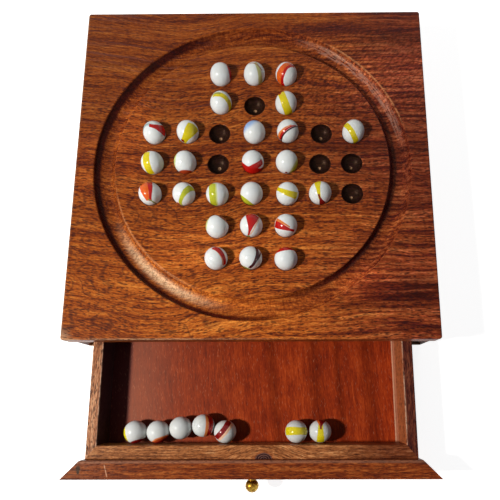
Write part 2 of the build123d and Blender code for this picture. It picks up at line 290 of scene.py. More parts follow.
# Paler and darker places of the top: middle and reach along X and Y, and shade
TOP_PATCHES = (
    (100, 72, 55, 38, (1.6, 1.75, 1.9)),
    (0, 122, 60, 14, (0.8, 0.72, 0.7)),
    (-122, 0, 16, 40, (1.5, 1.5, 1.5)),
    (-90, 25, 22, 60, (1.45, 1.4, 1.4)),
    (84, -92, 30, 18, (1.6, 1.5, 1.5)),
    (-40, -65, 45, 25, (1.2, 1.2, 1.25)),
    (10, -75, 40, 20, (0.9, 0.82, 0.8)),
)
# Shades, which multiply the wood's colour
RIGHTWARD_SHADE = (0.48, 0.38, 0.8)
REARWARD_SHADE = (0.73, 0.71, 0.82)
BACK_HALF_SHADE = (1.08, 1.06, 1.05)
STREAK_SHADE = (0.2, 0.12, 0.22)
CURL_DARK_SHADE = (0.42, 0.32, 0.34)
CURL_PALE_SHADE = (1.5, 1.5, 1.6)
PALE_DASH_SHADE = (1.8, 1.7, 1.9)
ROUGH_CUT_SHADE = (0.42, 0.3, 0.34)
# Painted shade on the groove's walls that face away from the key lamp
PAINTED_GROOVE_SHADE = (0.2, 0.09, 0.3)
# Painted light on the groove's inner wall at the left, which faces the key lamp
PAINTED_INNER_WALL_LIGHT = (1.5, 1.55, 1.3)
# Colours, which cover the wood's own
GREY_STREAK = (0.10, 0.045, 0.05)
SOCKET_BLACK = (0.002, 0.001, 0.001)
SOCKET_BROWN = (0.014, 0.006, 0.003)
DRILL_POINT = (0.42, 0.24, 0.13)
# Painted highlight of the key lamp on the groove's floor at the front left, with some rubbed wear
PAINTED_GROOVE_HIGHLIGHT = (0.85, 0.58, 0.34)
# Painted highlight on the groove's outer wall at the back right
LIT_WALL = (0.62, 0.34, 0.25)
# Painted highlight along the groove's arrises that face the key lamp
ARRIS_HIGHLIGHT = (0.62, 0.27, 0.11)


def top_ground(tree, grain, tone):
    """The top's colour before its streaks: broad tones, patches and the growth rings at the front left."""
    x, y, _ = grain.place
    # Painted light: the colour is lifted to the right against the key lamp's falloff
    colour = lifted_against_falloff(tree, tree.ramp(tone, *TOP_SHADES), x, TOP_LEVEL)
    wavering = tree.total(x, tree.swing(grain.texture(0.006, 0.03), 120))
    colour = shaded(tree, colour, tree.step(wavering, 0, 130), RIGHTWARD_SHADE)
    colour = shaded(tree, colour, tree.step(y, -75, -5), REARWARD_SHADE)
    colour = shaded(tree, colour, tree.step(y, 0, 120), BACK_HALF_SHADE)
    for patch_x, patch_y, reach_x, reach_y, shade in TOP_PATCHES:
        share_x = tree.product(tree.minus(x, patch_x), 1 / reach_x)
        share_y = tree.product(tree.minus(y, patch_y), 1 / reach_y)
        away = tree.vector("LENGTH", tree.join(share_x, share_y, 0.0))
        colour = shaded(tree, colour, tree.step(away, 1.0, 0.3), shade)
    figure = tree.total(tree.product(tree.step(x, 10, -50), tree.step(y, 10, -40), 0.35), 0.1)
    return tree.mix(tree.product(grain.contours(0.014, 0.035, 70.0), figure), colour, PORE)


def top_streaks(tree, grain, colour):
    """The colour with the top's dark, torn streaks."""
    x, y, _ = grain.place
    swayed = tree.total(y, tree.swing(grain.texture(0.01, 0.05, 3.0), 16))
    torn = tree.step(grain.texture(0.02, 0.5, 3.0), 0.3, 0.62)
    torn = tree.total(tree.product(torn, 0.6), 0.4)
    for first, last, across, half, strength in TOP_STREAKS:
        lane = tree.step(tree.math("ABSOLUTE", tree.minus(swayed, across)), half * 1.5, half * 0.4)
        mask = tree.product(lane, tree.between(x, first, last, 24), torn, strength)
        colour = shaded(tree, colour, mask, STREAK_SHADE)
    return colour


def top_figure(tree, grain, colour):
    """The colour with a curl at the back right, grey streaks at the back left and pale dashes."""
    x, y, _ = grain.place
    slanted = tree.join(tree.product(tree.total(x, y), 0.17), tree.product(tree.minus(y, x), 0.4), 0.0)
    curl = tree.noise(slanted, 2.0)
    curled = tree.product(tree.step(x, 5, 45), tree.step(y, 15, 50), tree.step(y, 130, 100))
    colour = shaded(tree, colour, tree.product(curled, tree.step(curl, 0.5, 0.62), 0.65), CURL_DARK_SHADE)
    colour = shaded(tree, colour, tree.product(curled, tree.step(curl, 0.5, 0.38), 0.6), CURL_PALE_SHADE)
    grey = tree.step(grain.texture(0.012, 0.35), 0.54, 0.68)
    grey = tree.product(grey, tree.step(x, 20, -60), tree.step(y, 0, 60), 0.4)
    colour = tree.mix(grey, colour, GREY_STREAK)
    pale = tree.product(grain.dashes(0.13, 0.8, 0.6, 0.36), tree.step(x, 10, 100), 0.75)
    return shaded(tree, colour, pale, PALE_DASH_SHADE)


def stained_sockets(tree, grain, colour, radius):
    """The colour with the sockets' dark stain and their bright drill points."""
    z = grain.place[2]
    below = tree.step(z, TOP_SURFACE - 0.1, TOP_SURFACE - 0.5)
    socket = tree.product(below, tree.step(radius, GROOVE_INNER - 3, GROOVE_INNER - 5))
    stain = tree.mix(tree.step(grain.texture(0.1, 0.9), 0.42, 0.62), SOCKET_BLACK, SOCKET_BROWN)
    colour = tree.mix(tree.product(socket, 0.98), colour, stain)
    point = tree.product(socket, tree.step(z, TOP_SURFACE - 6.0, TOP_SURFACE - 6.3), 0.7)
    return tree.mix(point, colour, DRILL_POINT)


class Groove:
    """The top's round groove: places round and across it, in millimetres, and masks of its parts."""

    def __init__(self, tree, grain):
        x, y, z = grain.place
        self.tree = tree
        self.radius = tree.vector("LENGTH", tree.join(x, tree.minus(y, PLAYFIELD_SHIFT), 0.0))
        self.outward = tree.vector("NORMALIZE", tree.join(x, y, 0.0))
        self.turn = tree.product(tree.math("ARCTAN2", y, x), (GROOVE_INNER + GROOVE_OUTER) / 2)
        self.mask = tree.product(
            tree.step(z, TOP_SURFACE - 0.2, TOP_SURFACE - 1.2),
            self.ring(GROOVE_INNER - 0.5, GROOVE_OUTER + 0.5, 0.5),
        )
        self.cut = self.texture(0.75, 0.3, 0.7)

    def ring(self, low, high, soft):
        return self.tree.between(self.radius, low, high, soft)

    def side(self, rightward, backward, low, high):
        """Goes to 1 where the groove lies that way from the board's middle."""
        facing = self.tree.vector("DOT_PRODUCT", self.outward, (rightward, backward, 0.0))
        return self.tree.step(facing, low, high)

    def texture(self, per_turn, per_radius, roughness):
        """Noise with that many features a millimetre round and across the groove."""
        tree = self.tree
        place = tree.join(tree.product(self.turn, per_turn), tree.product(self.radius, per_radius), 0.0)
        return tree.noise(place, 3.0, roughness)


def cut_groove(tree, grain, colour, groove):
    """The colour with the groove's rough cut, painted shade on its walls that face away from the key lamp,
    and painted light on its inner wall at the left, broken by fibres.
    """
    rough = tree.product(groove.mask, tree.step(groove.cut, 0.42, 0.6), 0.6)
    colour = shaded(tree, colour, rough, ROUGH_CUT_SHADE)
    leftward = groove.side(-0.98, -0.17, -0.15, 0.35)
    rightmost = groove.side(0.98, -0.17, 0.25, 0.75)
    # Painted shade on the outer wall at the left and the inner wall at the right, where the key lamp's shadow
    # falls
    shadowed_walls = tree.total(
        tree.product(tree.step(groove.radius, GROOVE_OUTER - 4.6, GROOVE_OUTER - 2.6), leftward),
        tree.product(tree.step(groove.radius, GROOVE_INNER + 5.0, GROOVE_INNER + 2.5), rightmost),
    )
    colour = shaded(tree, colour, tree.product(groove.mask, shadowed_walls), PAINTED_GROOVE_SHADE)
    # Painted light on the inner wall at the left, which faces the key lamp, broken by fibres
    fibres = tree.step(grain.texture(0.03, 0.7), 0.35, 0.6)
    inner_wall = groove.ring(GROOVE_INNER - 0.5, GROOVE_INNER + 6.0, 2.5)
    return shaded(tree, colour, tree.product(inner_wall, leftward, fibres, 0.8), PAINTED_INNER_WALL_LIGHT)


def worn_and_highlighted_edges(tree, grain, colour, wear_and_sheen):
    """The colour with the left and front arrises pale, most of all at their corner: partly rubbed wear,
    partly a painted highlight where they face the key lamp.
    """
    x, y, z = grain.place
    arris = tree.step(z, TOP_SURFACE - 2.2, TOP_SURFACE - 0.4)
    left_rub_and_sheen = tree.product(tree.step(x, 1.6 - TOP_HALF, 0.3 - TOP_HALF), arris)
    front_rub_and_sheen = tree.product(tree.step(y, 1.6 - TOP_HALF, 0.2 - TOP_HALF), arris, tree.step(x, 60, -90))
    corner = tree.vector("DISTANCE", tree.join(x, y, 0.0), (-TOP_HALF, -TOP_HALF, 0.0))
    corner_rub_and_sheen = tree.product(tree.step(corner, 11, 2), 0.8)
    # Partly rubbed wear, partly a painted highlight of the arrises that face the key lamp
    rub_and_sheen = tree.math("MAXIMUM", tree.math("MAXIMUM", left_rub_and_sheen, front_rub_and_sheen), corner_rub_and_sheen)
    return tree.mix(tree.product(rub_and_sheen, tree.step(wear_and_sheen, 0.3, 0.55), 0.75), colour, PALE_WEAR_AND_HIGHLIGHT)


def painted_groove_highlights(tree, grain, colour, groove, wear_and_sheen):
    """The colour with painted highlights of the key lamp: on the groove's floor at the front left, with some
    rubbed wear, on its wall at the back right, and along its arrises, broken by wear.
    """
    x, y, _ = grain.place
    middle = (-0.63 * GROOVE_INNER, -0.82 * GROOVE_INNER, 0.0)
    # Painted highlight of the key lamp on the groove's floor at the front left, with some rubbed wear
    painted_highlight = tree.product(
        tree.step(tree.vector("DISTANCE", tree.join(x, y, 0.0), middle), 58, 8),
        groove.ring(GROOVE_INNER + 4, GROOVE_INNER + 9.5, 5),
        tree.total(tree.product(tree.step(groove.cut, 0.62, 0.45), 0.5), 0.5),
    )
    colour = tree.mix(tree.product(painted_highlight, 0.75), colour, PAINTED_GROOVE_HIGHLIGHT)
    # Painted highlight on the outer wall at the back right
    lit_wall = tree.product(
        groove.side(0.76, 0.65, 0.82, 0.97),
        groove.ring(GROOVE_OUTER - 5.5, GROOVE_OUTER - 1.8, 2.0),
        tree.step(groove.texture(0.12, 1.1, 0.6), 0.36, 0.6),
        0.5,
    )
    colour = tree.mix(lit_wall, colour, LIT_WALL)
    # Painted highlights along the inner arris at the front left and the outer arris at the back right, broken
    # by wear
    front_left = groove.side(-0.77, -0.64, 0.84, 0.97)
    back_right = groove.side(0.79, 0.61, 0.9, 0.97)
    inner_arris_highlight = tree.product(groove.ring(GROOVE_INNER - 0.7, GROOVE_INNER + 0.9, 0.8), front_left, 0.4)
    outer_arris_highlight = tree.product(groove.ring(GROOVE_OUTER - 0.4, GROOVE_OUTER + 0.3, 0.5), back_right, 0.6)
    arris_highlights = tree.product(tree.total(inner_arris_highlight, outer_arris_highlight), tree.step(wear_and_sheen, 0.3, 0.5))
    return tree.mix(arris_highlights, colour, ARRIS_HIGHLIGHT)


made, tree = start_material("top_wood_aged")
grain = Grain(tree, 3, sway=9.0, bulge=(-60.0, 75.0, -9.0))
x, y, _ = grain.place
# Its streaks are strongest at the right, and its marks fewer at the back and in the groove
streaked = tree.total(0.42, tree.product(tree.step(x, 10, 100), 0.4))
tone = grain.tone(0.42, streaked, 0.35, 0.6)
groove = Groove(tree, grain)
wear_and_sheen = grain.texture(0.05, 0.3, 3.0)
colour = top_ground(tree, grain, tone)
colour = top_streaks(tree, grain, colour)
colour = top_figure(tree, grain, colour)
colour = stained_sockets(tree, grain, colour, groove.radius)
colour = cut_groove(tree, grain, colour, groove)
colour = worn_and_highlighted_edges(tree, grain, colour, wear_and_sheen)
colour = painted_groove_highlights(tree, grain, colour, groove, wear_and_sheen)
busy = tree.total(0.5, tree.product(tree.step(y, 100, 50), 0.5))
busy = tree.product(busy, tree.step(groove.mask, 1.6, 0.2))
colour, roughness, height = finish_grain(tree, grain, colour, tone, busy)
smoother = tree.total(tree.product(groove.cut, -0.2), 0.2)
roughness = tree.minus(roughness, tree.product(groove.mask, smoother))
height = tree.total(height, tree.product(groove.mask, groove.cut, 0.8))
close_material(tree, colour, roughness, height, 0.12, VARNISH)
dress("top_board", made)


def plain_board(name, seed, shades, along="X", **shape):
    """Starts a board's material: its name, tree, grain, tone and colour."""
    made, tree = start_material(name)
    grain = Grain(tree, seed, along, **shape)
    tone = grain.tone(0.5, 0.6, 0.7, 0.9)
    return made, tree, grain, tone, tree.ramp(tone, *shades)


def close_board(made, tree, grain, tone, colour, *names, busy=1.0):
    """Ends a board's material and gives it to the nodes of those names."""
    colour, roughness, height = finish_grain(tree, grain, colour, tone, busy)
    close_material(tree, colour, roughness, height, 0.1, VARNISH)
    for name in names:
        dress(name, made)


# Case boards, which show their mitred ends beside the drawer
CASE_SHADES = (
    (0.25, (0.050, 0.013, 0.008)),
    (0.48, (0.150, 0.040, 0.016)),
    (0.75, (0.300, 0.100, 0.034)),
)
for name, along, seed in (("case_side_left", "Y", 5), ("case_side_right", "Y", 7), ("case_back", "X", 9)):
    close_board(*plain_board(name + "_wood", seed, CASE_SHADES, along), name)

# Base panel of stained plywood, whose darker middle layer shows at its edges
BASE_SHADES = (
    (0.25, (0.14, 0.06, 0.03)),
    (0.5, (0.25, 0.13, 0.07)),
    (0.75, (0.38, 0.22, 0.12)),
)
MIDDLE_LAYER_SHADE = (0.55, 0.48, 0.45)
made, tree, grain, tone, colour = plain_board("base_ply_stained", 11, BASE_SHADES)
middle_layer = tree.between(grain.place[2], 1.05, 1.95, 0.15)
colour = shaded(tree, colour, middle_layer, MIDDLE_LAYER_SHADE)
close_board(made, tree, grain, tone, colour, "base_panel")

# Drawer front: reddish brown, with a paler rear arris, two worm holes and a scratch
FRONT_LEVEL = 1.12
FRONT_SHADES = (
    (0.18, (0.040, 0.007, 0.006)),
    (0.38, (0.110, 0.018, 0.006)),
    (0.55, (0.200, 0.038, 0.008)),
    (0.82, (0.400, 0.110, 0.024)),
)
REAR_ARRIS = (0.27, 0.14, 0.09)
# Worm holes: place along X and Y, and reach. They are a little longer along Y than across.
WORM_HOLES = ((-116.1, -215.5, 2.0), (-116.0, -217.8, 1.4))
WORM_HOLE_WIDTH = 0.8  # as a share of its length
WORM_HOLE_DARK = (0.006, 0.003, 0.003)
SCRATCH = ((-98.6, -213.2), (-96.3, -220.8))  # its ends
SCRATCH_PALE = (0.55, 0.30, 0.18)
made, tree, grain, tone, colour = plain_board("front_wood_aged", 13, FRONT_SHADES, sway=3.0)
x, y, z = grain.place
# Painted light: the colour is lifted to the right against the key lamp's falloff
colour = lifted_against_falloff(tree, colour, x, FRONT_LEVEL)
rear = tree.step(y, PLATE_REAR - 2.4, PLATE_REAR - 1.2)
arris = tree.product(rear, tree.step(z, PLATE_TOP - 1.6, PLATE_TOP - 0.6), 0.55)
colour = tree.mix(arris, colour, REAR_ARRIS)
upper = tree.step(z, PLATE_TOP - 1.5, PLATE_TOP - 0.5)
squeezed = tree.join(x, tree.product(y, WORM_HOLE_WIDTH), 0.0)
for hole_x, hole_y, reach in WORM_HOLES:
    away = tree.vector("DISTANCE", squeezed, (hole_x, hole_y * WORM_HOLE_WIDTH, 0.0))
    colour = tree.mix(tree.product(tree.step(away, reach, reach * 0.5), upper), colour, WORM_HOLE_DARK)
(start_x, start_y), (end_x, end_y) = SCRATCH
share = tree.math("DIVIDE", tree.minus(y, start_y), end_y - start_y)
line_x = tree.total(tree.product(share, end_x - start_x), start_x)
off = tree.math("ABSOLUTE", tree.minus(x, line_x))
scratch = tree.product(tree.step(off, 0.55, 0.15), tree.between(share, 0.0, 1.0, 0.15), upper, 0.7)
colour = tree.mix(scratch, colour, SCRATCH_PALE)
close_board(made, tree, grain, tone, colour, "drawer_front", busy=0.6)

# Drawer rail: tan, speckled, darker at its right end, with half a knot in its front edge
RAIL_LEVEL = 1.08
RAIL_SHADES = (
    (0.20, (0.080, 0.022, 0.010)),
    (0.40, (0.240, 0.078, 0.024)),
    (0.56, (0.410, 0.150, 0.050)),
    (0.82, (0.700, 0.360, 0.150)),
)
RAIL_END_SHADE = (0.42, 0.30, 0.32)
KNOT_X, KNOT_HALF_WIDTH, KNOT_HEIGHT = 8.4, 5.8, 4.2
KNOT_BEND = (KNOT_X, 34.0, 9.0)  # how the fibres go round it: middle, reach and rise
KNOT_RINGS = 22
KNOT_DARK = (0.020, 0.008, 0.008)
KNOT_PALE = (0.22, 0.10, 0.08)
KNOT_EDGE_SHADE = (0.72, 0.55, 0.5)
made, tree, grain, tone, colour = plain_board("rail_wood", 17, RAIL_SHADES, sway=2.0, bulge=KNOT_BEND)
x, y, _ = grain.place
# Painted light: the colour is lifted to the right against the key lamp's falloff
colour = lifted_against_falloff(tree, colour, x, RAIL_LEVEL)
rightward = tree.step(tree.total(x, tree.product(grain.texture(0.05, 0.2), 30)), 55, 115)
colour = shaded(tree, colour, rightward, RAIL_END_SHADE)
knot = tree.vector(
    "DISTANCE",
    tree.join(tree.product(x, 1 / KNOT_HALF_WIDTH), tree.product(y, 1 / KNOT_HEIGHT), 0.0),
    (KNOT_X / KNOT_HALF_WIDTH, RAIL_FRONT / KNOT_HEIGHT, 0.0),
)
rings = tree.step(tree.math("SINE", tree.product(knot, KNOT_RINGS)), -0.2, 0.8)
knot_colour = tree.mix(tree.product(rings, 0.7), KNOT_DARK, KNOT_PALE)
colour = shaded(tree, colour, tree.step(knot, 1.6, 1.0), KNOT_EDGE_SHADE)
colour = tree.mix(tree.step(knot, 1.06, 0.94), colour, knot_colour)
close_board(made, tree, grain, tone, colour, "drawer_rail", busy=0.6)

# Drawer sides and back
LEFT_SIDE_SHADES = (
    (0.25, (0.100, 0.027, 0.012)),
    (0.48, (0.280, 0.102, 0.045)),
    (0.72, (0.530, 0.280, 0.150)),
)
RIGHT_SIDE_SHADES = (
    (0.25, (0.022, 0.006, 0.008)),
    (0.50, (0.100, 0.020, 0.013)),
    (0.78, (0.260, 0.076, 0.038)),
)
# Each drawer side: its seed and shades, and the colour painted on its inner face with how much that covers:
# painted shade on the left side's, which faces away from the key lamp, and painted light on the right side's,
# which faces it
DRAWER_SIDES = {
    "left": (19, LEFT_SIDE_SHADES, (0.022, 0.008, 0.016), 0.92),
    "right": (23, RIGHT_SIDE_SHADES, (0.44, 0.125, 0.038), 0.75),
}
PALE_RIM = (0.62, 0.40, 0.28)
for name, (seed, shades, inner_light_and_shade, cover) in DRAWER_SIDES.items():
    made, tree, grain, tone, colour = plain_board(f"drawer_{name}_wood", seed, shades, "Y", sway=4.0)
    x, _, z = grain.place
    outward = tree.math("ABSOLUTE", x)
    inner_face = tree.step(outward, TRAY_HALF + 0.4, TRAY_HALF + 0.1)
    # Painted shade on the left side's inner face, painted light on the right side's
    colour = tree.mix(tree.product(inner_face, cover), colour, inner_light_and_shade)
    arris = tree.product(
        tree.between(outward, TRAY_HALF - 0.2, TRAY_HALF + 0.7, 0.3),
        tree.step(z, TRAY_RIM - 1.4, TRAY_RIM - 0.6),
    )
    rub_and_sheen = tree.step(grain.texture(0.05, 0.3), 0.35, 0.55)
    colour = tree.mix(tree.product(arris, rub_and_sheen, 0.6), colour, PALE_RIM)
    close_board(made, tree, grain, tone, colour, f"drawer_side_{name}")
close_board(*plain_board("drawer_back_wood", 29, LEFT_SIDE_SHADES), "drawer_back")

# Drawer bottom: reddish veneer, faint bands from front to back, broken fibres, a painted strip of bounce
# light at its right edge and a painted shadow at its left end
VENEER_LEVEL = 1.15
VENEER_SHADES = (
    (0.22, (0.085, 0.008, 0.004)),
    (0.50, (0.215, 0.023, 0.005)),
    (0.78, (0.380, 0.055, 0.010)),
)
# Dark bands of the veneer: place across X, half width and strength
VENEER_BANDS = ((-24, 4, 0.3), (15, 4, 0.6), (46, 6, 0.55), (64, 3, 0.6), (87, 6, 0.55))
VENEER_LEAN = 0.07
LEAN_SHIFT = 11  # how far the lean carries a band to the side, half way along the drawer
BAND_SHADE = (0.42, 0.36, 0.36)
DUST = (0.24, 0.085, 0.055)
# Painted shadow of the left side on the drawer bottom
WALL_SHADOW_SHADE = (0.4, 0.3, 0.55)
# Pale broken fibres: how far they lean, and the share of the cells that hold one
PALE_FIBRES = ((0.4, 0.2), (-0.35, 0.16), (0.0, 0.2))
FIBRE_PALE = (0.60, 0.27, 0.15)
# Painted bounce light from the lit right side: a strip and a pale line along the bottom's right edge
BOUNCE_LIGHT_STRIP = (0.50, 0.23, 0.13)
BOUNCE_LIGHT_EDGE = (0.80, 0.50, 0.32)
DARK_SPECK = (0.07, 0.012, 0.006)
made, tree = start_material("drawer_veneer_aged")
grain = Grain(tree, 31, "Y", lean=VENEER_LEAN, sway=4.0)
x, y, _ = grain.place
blotch = tree.noise(tree.join(tree.product(x, 0.07), tree.product(y, 0.05), 9.0), 3.0, 0.6)
tone = tree.total(grain.tone(0.4, 0.2, 0.5, 0.7), tree.swing(blotch, 0.4))
# Painted light: the colour is lifted to the right against the key lamp's falloff
colour = lifted_against_falloff(tree, tree.ramp(tone, *VENEER_SHADES), x, VENEER_LEVEL)
for middle, half, strength in VENEER_BANDS:
    lane = tree.step(tree.math("ABSOLUTE", tree.minus(grain.ring, middle - LEAN_SHIFT)), half * 1.6, 0.0)
    colour = shaded(tree, colour, tree.product(lane, strength), BAND_SHADE)
dust = tree.total(tree.product(tree.step(x, 10, -100), 0.25), tree.product(tree.step(x, -50, -88), 0.3))
colour = tree.mix(dust, colour, DUST)
# Painted shadow of the left side on the bottom, at its left end
colour = shaded(tree, colour, tree.step(x, -91, -95), WALL_SHADOW_SHADE)
for lean, share in PALE_FIBRES:
    tilted = tree.total(x, tree.product(y, lean))
    distance, chance = tree.cells(tree.join(tree.product(tilted, 1.5), tree.product(y, 0.2), lean * 40))
    fibre = tree.product(tree.step(distance, 0.3, 0.1), tree.step(chance, share, share * 0.7), 0.3)
    colour = tree.mix(fibre, colour, FIBRE_PALE)
# Painted bounce light from the lit right side, along the bottom's right edge
bounce_strip = tree.product(tree.step(x, TRAY_HALF - 2.2, TRAY_HALF - 1.8), tree.total(tree.product(tone, 0.7), 0.3))
colour = tree.mix(bounce_strip, colour, BOUNCE_LIGHT_STRIP)
bounce_line = tree.between(x, TRAY_HALF - 2.5, TRAY_HALF - 1.7, 0.4)
colour = tree.mix(tree.product(bounce_line, 0.7), colour, BOUNCE_LIGHT_EDGE)
speck = grain.dashes(0.3, 1.4, 0.35, 0.25)
colour = tree.mix(tree.product(speck, 0.35), colour, DARK_SPECK)
roughness = tree.total(0.36, tree.product(tone, 0.14))
close_material(tree, colour, roughness, tree.total(tone, tree.product(speck, -0.5)), 0.06, VARNISH)
dress("drawer_bottom", made)

# Beech dowels, out of sight in their holes
BEECH_SHADES = ((0.3, (0.42, 0.27, 0.14)), (0.7, (0.66, 0.49, 0.30)))
made, tree = start_material("dowel_beech")
flecks = tree.noise(tree.vector("MULTIPLY", tree.place(), (1.6, 1.6, 0.2)), 3.0)
colour = tree.ramp(flecks, *BEECH_SHADES)
close_material(tree, colour, tree.total(0.5, tree.product(flecks, 0.2)), flecks, 0.05, {})
for name in ("top_dowels", "front_dowels"):
    dress(name, made)

# Steel brads and pins, dulled by age
METAL = {"Metallic": 1.0}
STEEL_SHADES = ((0.35, (0.24, 0.21, 0.19)), (0.65, (0.52, 0.51, 0.49)))
made, tree = start_material("steel_dull")
tarnish = tree.noise(tree.place(), 4.0, 0.65)
colour = tree.ramp(tarnish, *STEEL_SHADES)
close_material(tree, colour, tree.total(0.3, tree.product(tarnish, 0.3)), tarnish, 0.02, METAL)
for name in ("base_brads", "corner_pins", "drawer_bottom_brads", "drawer_corner_pins"):
    dress(name, made)

# Brass knob: brown and dull in patches, and bright between them
BRASS_SHADES = (
    (0.36, (0.10, 0.045, 0.008)),
    (0.5, (0.30, 0.16, 0.018)),
    (0.66, (0.56, 0.38, 0.08)),
)
made, tree = start_material("brass_aged")
place = tree.place()
tarnish = tree.noise(tree.vector("MULTIPLY", place, (0.5, 0.5, 0.5)), 4.0, 0.6)
scuffs = tree.noise(tree.vector("MULTIPLY", place, (1.2, 0.5, 3.0)), 4.0, 0.7)
roughness = tree.total(0.16, tree.product(tree.step(tarnish, 0.6, 0.38), 0.28), tree.product(scuffs, 0.12))
close_material(tree, tree.ramp(tarnish, *BRASS_SHADES), roughness, scuffs, 0.03, METAL)
dress("knob", made)


# Marbles: opaque white glass with bands of coloured glass. A band follows a circle on the marble.
def start_glass_band():
    """Node group for the mask of one band, from a place on the marble in radii and the band's settings."""
    group = bpy.data.node_groups.new("glass_band", "ShaderNodeTree")
    group.interface.new_socket("Mask", in_out="OUTPUT", socket_type="NodeSocketFloat")
    for name in ("Place", "Axis", "Run", "Middle"):
        group.interface.new_socket(name, in_out="INPUT", socket_type="NodeSocketVector")
    for name in ("Offset", "Run Start", "Run End", "Start Width", "End Width", "Reach", "Soft"):
        group.interface.new_socket(name, in_out="INPUT", socket_type="NodeSocketFloat")
    tree = Tree(group)
    given = tree.node("NodeGroupInput").outputs
    level = tree.vector("DOT_PRODUCT", given["Place"], given["Axis"])
    off = tree.math("ABSOLUTE", tree.minus(level, given["Offset"]))
    run = tree.vector("DOT_PRODUCT", given["Place"], given["Run"])
    share = tree.step(run, given["Run Start"], given["Run End"])
    widening = tree.product(share, tree.minus(given["End Width"], given["Start Width"]))
    half = tree.product(tree.total(given["Start Width"], widening), 0.5)
    across = tree.step(off, tree.total(half, given["Soft"]), tree.minus(half, given["Soft"]))
    near = tree.vector("DOT_PRODUCT", given["Place"], given["Middle"])
    along = tree.step(near, tree.minus(given["Reach"], 0.03), tree.total(given["Reach"], 0.03))
    tree.feed(tree.node("NodeGroupOutput").inputs["Mask"], tree.product(across, along))
    return group


WHITE = (0.73, 0.76, 0.75)
CLOUD = (0.72, 0.76, 0.77)
# Painted shade for the spare marbles in the drawer, which lie nearer the key lamp
SPARE_PAINTED_SHADE = (0.84, 0.83, 0.82)
YELLOW = (0.68, 0.57, 0.008)
LIME = (0.47, 0.50, 0.025)
LIME_PALE = (0.60, 0.65, 0.24)
OLIVE = (0.30, 0.33, 0.06)
OLIVE_PALE = (0.46, 0.44, 0.17)
GREEN = (0.20, 0.26, 0.05)
RED = (0.48, 0.006, 0.004)
DARK_RED = (0.22, 0.006, 0.006)
CRIMSON = (0.40, 0.02, 0.02)
BRICK = (0.42, 0.05, 0.012)
MAROON = (0.060, 0.004, 0.010)
BROWN = (0.34, 0.12, 0.07)
ORANGE = (0.70, 0.120, 0.010)
AMBER = (0.72, 0.22, 0.05)
PEACH = (0.80, 0.50, 0.34)
SKY_REFLECTION_BLUE = (0.30, 0.45, 0.74)
SKY_REFLECTION_GREY_BLUE = (0.60, 0.68, 0.78)
TEAL = (0.33, 0.47, 0.47)


def facing(centre, right, up):
    """Direction from a marble's centre to a place on it, in hundredths of its radius as seen."""
    view = (CAMERA_PLACE - centre).normalized()
    across = CAMERA_TURN @ Vector((1, 0, 0))
    across = (across - across.dot(view) * view).normalized()
    towards = view.cross(across)
    flat = Vector((right, up)) / 100
    depth = max(0.0, 1 - flat.length_squared) ** 0.5
    return (across * flat.x + towards * flat.y + view * depth).normalized()


def arc(colour, first, middle, last, start_width, end_width, soft):
    """Band through three places, with its width at both ends."""

    def settings(centre):
        start, way, end = (facing(centre, *place) for place in (first, middle, last))
        axis = (way - start).cross(end - way).normalized()
        run = (end - start).normalized()
        heart = (start + end).normalized()
        if heart.dot(way) < 0:
            heart = -heart
        return {
            "Axis": axis, "Offset": axis.dot(start), "Run": run, "Run Start": run.dot(start),
            "Run End": run.dot(end), "Start Width": start_width / 100, "End Width": end_width / 100,
            "Middle": heart, "Reach": min(heart.dot(start), heart.dot(end)) - 0.12, "Soft": soft / 200,
        }

    return colour, settings


def cap(axis, spread, soft):
    """Round patch about an axis, as a band that runs on past the axis."""
    edge, past = cos(spread), 1.5
    return {
        "Axis": axis, "Offset": (past + edge) / 2, "Run": axis, "Run Start": 0.0, "Run End": 1.0,
        "Start Width": past - edge, "End Width": past - edge, "Middle": axis, "Reach": -2.0,
        "Soft": soft / 200,
    }


def rim(colour, angle, depth, spread, soft):
    """Crescent at the marble's edge, at that angle from the right.

    Its depth is in hundredths of the marble's radius, and the spread of its circle in degrees.
    """

    def settings(centre):
        view = facing(centre, 0, 0)
        outward = facing(centre, 100 * cos(radians(angle)), 100 * sin(radians(angle)))
        tilt = asin(1 - depth / 100) + radians(spread)
        return cap(view * cos(tilt) + outward * sin(tilt), radians(spread), soft)

    return colour, settings


def spot(colour, place, size, soft):
    """Round spot, its size in hundredths of the marble's radius."""

    def settings(centre):
        return cap(facing(centre, *place), asin(size / 100), soft / 4)

    return colour, settings
